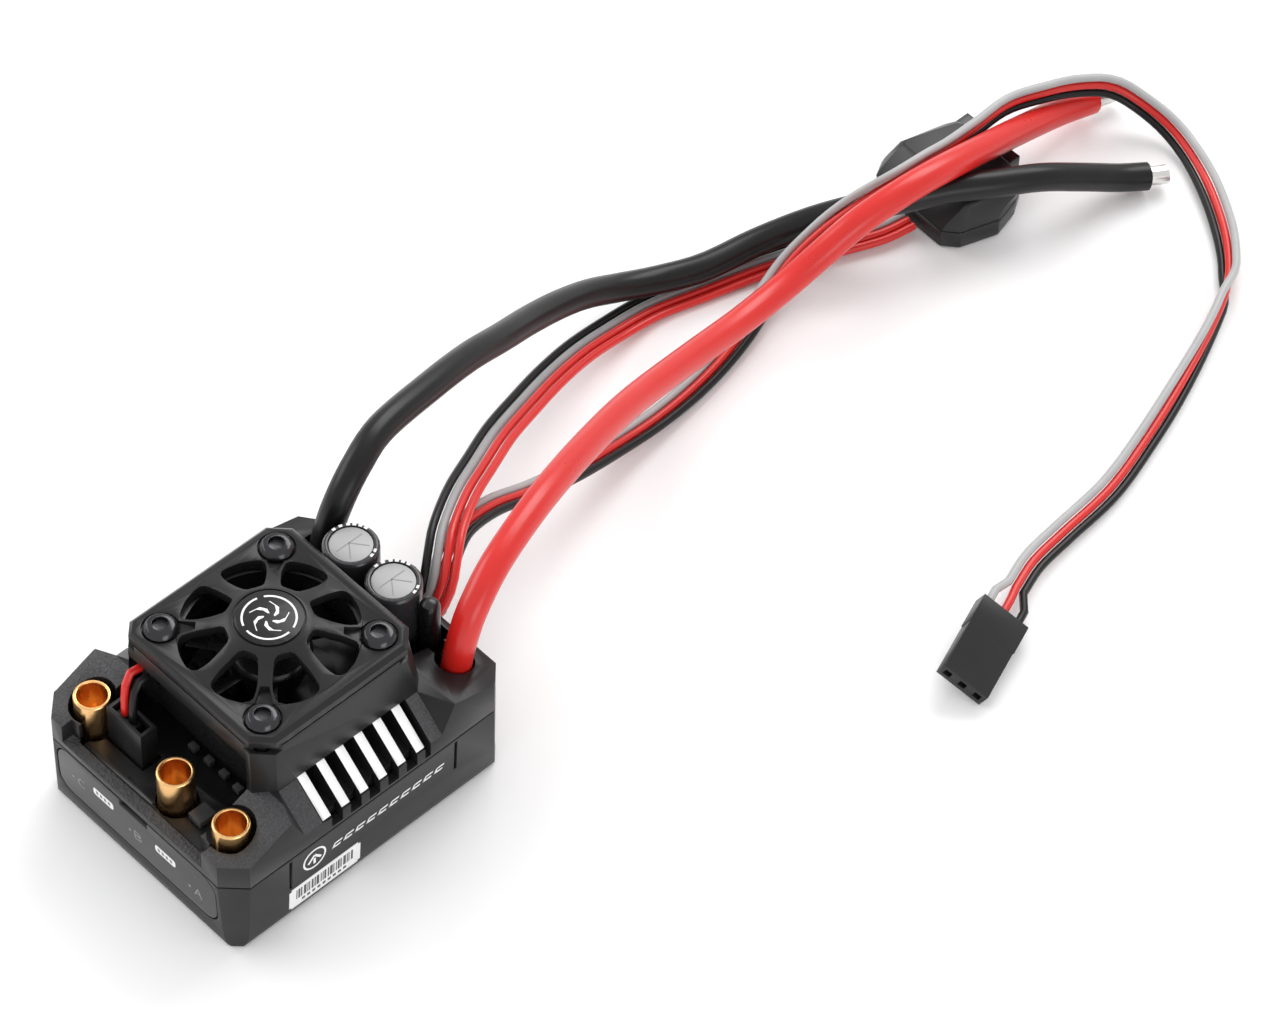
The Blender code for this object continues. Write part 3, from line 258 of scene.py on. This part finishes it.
def soften_edges(piece, width):
    """Joins the model's split corners, rounds its sharp edges and keeps its flats flat."""
    piece.data.shade_smooth()
    weld = piece.modifiers.new("weld", "WELD")
    weld.merge_threshold = 1e-6
    bevel = piece.modifiers.new("edge", "BEVEL")
    bevel.limit_method = "ANGLE"
    bevel.angle_limit = math.radians(28)
    bevel.width = width * MM
    bevel.segments = 2
    bevel.harden_normals = True
    bevel.use_clamp_overlap = True


EDGE_WIDTHS = {
    "upper_case": 0.16, "fan_guard": 0.14, "lower_case": 0.32, "front_panel": 0.08, "heat_sink": 0.04,
    "switch_cover": 0.5, "switch_base": 0.3, "receiver_plug": 0.12,
}


def fin_end(spot, normal):
    """The sloped ends of the fins, whose metal is left bare."""
    return abs(normal.x) > 0.5 and normal.z > 0.4 and spot.z > 15.0


def grained_patch(spot, normal):
    """The strips beside the windows and the platforms beside the sockets."""
    strip = abs(normal.x) > 0.5 and normal.z > 0.5 and abs(spot.y) < 13.5 and spot.z < 21.5
    platform = normal.z > 0.6 and spot.y < -12.8 and 13.5 < spot.z < 20.6
    return strip or platform


OWN_FINISH = {"front_panel": "face_plastic"}
SECOND_FINISH = {"heat_sink": ("bare_metal", fin_end), "upper_case": ("grained_plastic", grained_patch)}


def dress_cad():
    slots = {row["node"]: row["material_slot"] for row in frame["record"]["subparts"]}
    for name, node in frame["nodes"].items():
        node.data.materials.clear()
        node.data.materials.append(skin(OWN_FINISH.get(name, slots[name])))
        if name in SECOND_FINISH:
            finish, chosen = SECOND_FINISH[name]
            node.data.materials.append(skin(finish))
            for face in node.data.polygons:
                if chosen(face.center / MM, face.normal):
                    face.material_index = 1
        soften_edges(node, EDGE_WIDTHS.get(name, 0.06))


# ---------------------------------------------------------------- cords

def smooth_route(points, step):
    route = [Vector(p) for p in points]
    padded = [2 * route[0] - route[1], *route, 2 * route[-1] - route[-2]]
    dense = []
    for i in range(1, len(padded) - 2):
        p0, p1, p2, p3 = padded[i - 1:i + 3]
        for k in range(16):
            t = k / 16
            dense.append(0.5 * (
                2 * p1 + (p2 - p0) * t + (2 * p0 - 5 * p1 + 4 * p2 - p3) * t * t
                + (3 * p1 - p0 - 3 * p2 + p3) * t * t * t
            ))
    dense.append(route[-1])
    lengths = [0.0]
    for a, b in zip(dense, dense[1:]):
        lengths.append(lengths[-1] + (b - a).length)
    count = max(2, round(lengths[-1] / step))
    sampled = []
    at = 0
    for k in range(count + 1):
        wanted = lengths[-1] * k / count
        while at < len(dense) - 2 and lengths[at + 1] < wanted:
            at += 1
        share = (wanted - lengths[at]) / max(1e-9, lengths[at + 1] - lengths[at])
        sampled.append(dense[at].lerp(dense[at + 1], min(1.0, share)))
    return sampled


def turn_at(share, turns):
    for (start, a), (end, b) in zip(turns, turns[1:]):
        if share <= end:
            t = (share - start) / (end - start)
            return math.radians(a + (b - a) * t * t * (3 - 2 * t))
    return math.radians(turns[-1][1])


def strand_route(centre, turns, offset, last_points=()):
    """The centre line moved sideways, by offset towards the left of travel, turned about the lead."""
    moved = []
    for i, point in enumerate(centre):
        ahead = centre[min(i + 1, len(centre) - 1)] - centre[max(i - 1, 0)]
        left = Vector((0, 0, 1)).cross(ahead).normalized()
        over = ahead.normalized().cross(left)
        angle = turn_at(i / (len(centre) - 1), turns)
        moved.append(point + offset * (math.cos(angle) * left + math.sin(angle) * over))
    return moved + list(last_points)


def tube(name, points, diameter, slot, stands_for):
    """A round cord along the points, which rides the case and stands for a node of the model."""
    curve = bpy.data.curves.new(name, "CURVE")
    curve.dimensions = "3D"
    curve.bevel_depth = diameter / 2 * MM
    curve.bevel_resolution = 5
    curve.use_fill_caps = True
    line = curve.splines.new("POLY")
    line.points.add(len(points) - 1)
    for spot, point in zip(line.points, points):
        spot.co = (*(Vector(point) * MM), 1.0)
    line.use_smooth = True
    made = bpy.data.objects.new(name, curve)
    curve.materials.append(skin(slot))
    bpy.context.scene.collection.objects.link(made)
    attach(made, CASE)
    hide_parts(stands_for)
    return made


def make_power_wires():
    for colour, route, hole in (
        ("black", BLACK_ROUTE, (-0.0131, 0.0201, 0.0186)), ("red", RED_ROUTE, (0.0132, 0.0201, 0.0186)),
    ):
        points = smooth_route(route, 1.5)
        wire = tube(f"battery_wire_{colour}", points, POWER_WIRE_D, f"wire_{colour}", f"power_wire_{colour}")


def make_switch_lead():
    centre = smooth_route(SWITCH_ROUTE, 1.5)
    for name, place in (("black", 1.5), ("grey", 0.5), ("red", -0.5), ("red_2", -1.5)):
        points = strand_route(centre, ((0.0, 0), (1.0, 0)), place * STRAND_PITCH)
        slot = "wire_" + name.split("_")[0]
        strand = tube(f"switch_strand_{name}", points, STRAND_D, slot, f"switch_lead_{name}")


def plug_frame():
    heading = math.radians(PLUG_HEADING)
    roll = math.radians(PLUG_ROLL)
    along = Vector((math.cos(heading), math.sin(heading), 0))
    level = Vector((-math.sin(heading), math.cos(heading), 0))
    across = level * math.cos(roll) - Vector((0, 0, math.sin(roll)))
    out = across.cross(along) * -1
    if out.z < 0:
        out = -out
    return across, along, out


def plug_point(across, along, depth):
    x_axis, y_axis, z_axis = plug_frame()
    return Vector(PLUG_CORNER) + across * x_axis + along * y_axis - depth * z_axis


def make_receiver_lead():
    centre = smooth_route(RECEIVER_ROUTE, 1.5)
    for name, place in (("white", 1), ("red", 0), ("black", -1)):
        across = PLUG_WIDTH / 2 - place * PLUG_PITCH
        entry = [plug_point(across, far, PLUG_THICK / 2) for far in (-2.6, -1.2, -0.1)]
        points = strand_route(centre, RECEIVER_TURNS, place * STRAND_PITCH, entry)
        strand = tube(f"receiver_strand_{name}", points, STRAND_D, f"wire_{name}", f"receiver_lead_{name}")


# ---------------------------------------------------------------- printing

def print_on(name, shapes, surface, finish, lift=0.03):
    """Thin printed shapes riding the case. surface gives a point and its outward normal from two numbers."""
    data = bmesh.new()
    for outline in shapes:
        spots = [surface(u, v) for u, v in outline]
        low = [data.verts.new((point - 0.05 * out) * MM) for point, out in spots]
        high = [data.verts.new((point + lift * out) * MM) for point, out in spots]
        data.faces.new(high)
        data.faces.new(list(reversed(low)))
        for i in range(len(spots)):
            j = (i + 1) % len(spots)
            data.faces.new((low[i], low[j], high[j], high[i]))
    bmesh.ops.recalc_face_normals(data, faces=data.faces)
    mesh = bpy.data.meshes.new(name)
    data.to_mesh(mesh)
    data.free()
    made = bpy.data.objects.new(name, mesh)
    mesh.materials.append(skin(finish))
    bpy.context.scene.collection.objects.link(made)
    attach(made, CASE)
    return made


def wall_inset(z):
    """How far the lower case's walls stand in from their top edge at a height."""
    if z > 4.0:
        return 0.25 * (SEAM_Z - z) / 8.6
    if z > 1.5:
        return 0.25 + 0.06 * (4.0 - z)
    return 0.4 + 0.15 * (1.5 - z)


def on_front(x, z):
    return Vector((x, -CASE_HALF_Y + wall_inset(z), z)), Vector((0, -1, 0))


def on_side(y, z):
    return Vector((CASE_HALF_X - wall_inset(z), y, z)), Vector((1, 0, 0))


def bar(left, right, low, high, slant=0.0):
    """A rectangle, or a slanted bar if its top is shifted."""
    return [(left, low), (right, low), (right + slant, high), (left + slant, high)]


def arc(cx, cy, radius, width, start, end, steps=14):
    """A ring or part of one, as short pieces; radius is its outer one."""
    turns = [math.radians(start + (end - start) * i / steps) for i in range(steps + 1)]
    outer = [(cx + radius * math.cos(t), cy + radius * math.sin(t)) for t in turns]
    inner = [(cx + (radius - width) * math.cos(t), cy + (radius - width) * math.sin(t)) for t in turns]
    return [[outer[i], outer[i + 1], inner[i + 1], inner[i]] for i in range(steps)]


def stroke(ax, ay, bx, by, width):
    """A straight line of some width with square ends."""
    along = Vector((bx - ax, by - ay)).normalized() * width / 2
    side = Vector((-along.y, along.x))
    return [
        (ax + side.x, ay + side.y), (ax - side.x, ay - side.y), (bx - side.x, by - side.y),
        (bx + side.x, by + side.y),
    ]


LETTERS = {
    "A": ((0, 0, 0.5, 1), (0.5, 1, 1, 0), (0.2, 0.38, 0.8, 0.38)),
    "B": ((0, 0, 0, 1), (0, 1, 0.8, 0.85), (0.8, 0.85, 0.8, 0.6), (0.8, 0.6, 0, 0.5), (0.8, 0.45, 0, 0.5),
          (0.9, 0.4, 0.9, 0.12), (0.9, 0.12, 0, 0)),
    "C": ((0.9, 0.85, 0.45, 1), (0.45, 1, 0.05, 0.65), (0.05, 0.65, 0.05, 0.35), (0.05, 0.35, 0.45, 0),
          (0.45, 0, 0.9, 0.15)),
}


def letter(key, x, z, size):
    """A letter's strokes, with its lower left corner at x and z."""
    return [
        stroke(x + size * 0.8 * a, z + size * b, x + size * 0.8 * p, z + size * q, STROKE_WIDTH)
        for a, b, p, q in LETTERS[key]
    ]


def print_side():
    """A plain label with bars, a round mark and a row of slanted dashes."""
    left, right, low, high = SIDE_LABEL
    label = [bar(left, right, low, high)]
    label.append(bar(left + 0.4, right - 0.4, low - 0.4, low))
    label.append(bar(left + 0.4, right - 0.4, high, high + 0.4))
    print_on("side_label", label, on_side, "print_white", 0.07)
    bars = []
    at = -13.6
    step = 0
    while at < -3.6:
        wide = (0.14, 0.3, 0.2, 0.42, 0.14)[step % 5]
        bars.append(bar(at, at + wide, 2.9, 4.9))
        at += wide + (0.2, 0.16, 0.3)[step % 3]
        step += 1
    for i in range(9):
        bars.append(bar(-12.6 + i * 0.9, -12.1 + i * 0.9, 1.9, 2.35))
    print_on("side_label_bars", bars, on_side, "print_dark", 0.1)
    y, z = ROUND_MARK
    ring = arc(y, z, 2.0, 0.3, 0, 360, 28)
    ring += [stroke(y - 1.1, z - 0.5, y, z + 0.7, 0.4), stroke(y, z + 0.7, y + 1.1, z - 0.5, 0.4)]
    ring.append(stroke(y, z - 1.1, y, z, 0.4))
    print_on("side_round_mark", ring, on_side, "print_white")
    dashes = []
    for i in range(10):
        start = DASH_START + DASH_PITCH * i
        dashes.append(bar(start, start + 1.45, 8.35, 8.62, 0.12))
        dashes.append(bar(start + 0.45, start + 1.75, 9.05, 9.32, 0.12))
        dashes.append(bar(start, start + 0.3, 8.35, 9.3, 0.5))
    print_on("side_dashes", dashes, on_side, "print_white")


def print_front():
    """The three phase letters, each with a dot, and two pale pills with bars on them."""
    shapes = []
    for key, x, z in PHASE_LETTERS:
        shapes += letter(key, x, z, LETTER_SIZE)
        shapes += arc(x - 1.0, z + 0.85, 0.25, 0.23, 0, 360, 8)
    print_on("phase_letters", shapes, on_front, "print_grey")
    pills = []
    bars = []
    half, rise = PILL_HALF
    for x, z in PILLS:
        corners = []
        for turn, cx, cz in ((180, -half, -rise), (270, half, -rise), (0, half, rise), (90, -half, rise)):
            for i in range(4):
                angle = math.radians(turn + 30 * i)
                corners.append((
                    x + cx + PILL_ROUND * math.cos(angle), z + cz + PILL_ROUND * math.sin(angle)
                ))
        pills.append(corners)
        bars += [bar(x - 1.5 + 0.8 * i, x - 1.0 + 0.8 * i, z - 0.32, z + 0.32) for i in range(4)]
    print_on("front_pills", pills, on_front, "print_white")
    print_on("front_pill_bars", bars, on_front, "print_grey", 0.05)


def on_hub(x, y):
    return Vector((FAN_X + x, FAN_Y + y, HUB_TOP)), Vector((0, 0, 1))


def print_hub():
    """A broken ring and five thin curved vanes on the guard's hub."""
    shapes = []
    for start, end in ((20, 150), (165, 250), (265, 365)):
        shapes += arc(0, 0, HUB_RING, 0.28, start, end)
    for i in range(5):
        spots = []
        for radius, lead, width in ((0.7, 0, 0.12), (1.4, 16, 0.3), (2.1, 38, 0.3), (2.7, 66, 0.1)):
            angle = math.radians(72 * i + lead)
            out = Vector((math.cos(angle), math.sin(angle)))
            side = Vector((-out.y, out.x))
            spots.append((radius * out + width * side, radius * out - width * side))
        shapes += [[a[0], a[1], b[1], b[0]] for a, b in zip(spots, spots[1:])]
    print_on("hub_mark", shapes, on_hub, "print_white", 0.01)


def print_capacitors():
    """The vent scores in each can's top, and the pale print on the sleeves."""
    for i, (x, y) in enumerate(CAPACITORS):
        def on_top(u, v):
            return Vector((x + u, y + v, CAN_TOP)), Vector((0, 0, 1))

        def on_rim(turn, radius):
            angle = math.radians(turn)
            spot = Vector((x + radius * math.cos(angle), y + radius * math.sin(angle), SLEEVE_TOP))
            return spot, Vector((0, 0, 1))

        scores = [stroke(-0.4, -2.3, -0.4, 2.3, 0.16), stroke(-0.4, 0, 1.8, 1.7, 0.16)]
        scores.append(stroke(-0.4, 0, 1.8, -1.7, 0.16))
        print_on(f"vent_scores_{i + 1}", scores, on_top, "print_grey", 0.02)
        blocks = []
        for start in (98, 112, 126, 140, 158, 176, 8, 24):
            blocks.append(bar(start, start + 9, 3.2, 3.58))
        print_on(f"sleeve_print_{i + 1}", blocks, on_rim, "print_white", 0.02)


# ---------------------------------------------------------------- stage

def make_floor():
    data = bmesh.new()
    bmesh.ops.create_grid(data, x_segments=1, y_segments=1, size=3.0)
    mesh = bpy.data.meshes.new("floor")
    data.to_mesh(mesh)
    data.free()
    floor = bpy.data.objects.new("floor", mesh)
    floor.location = (0, 0, -0.0002)
    bpy.context.scene.collection.objects.link(floor)
    mesh.materials.append(grained("floor_paper", (0.95, 0.95, 0.95), 0.8, mottle=0.005, bump=0.0))


make_camera()
make_light()
make_floor()
dress_cad()
make_power_wires()
make_switch_lead()
make_receiver_lead()
print_side()
print_front()
print_hub()
print_capacitors()
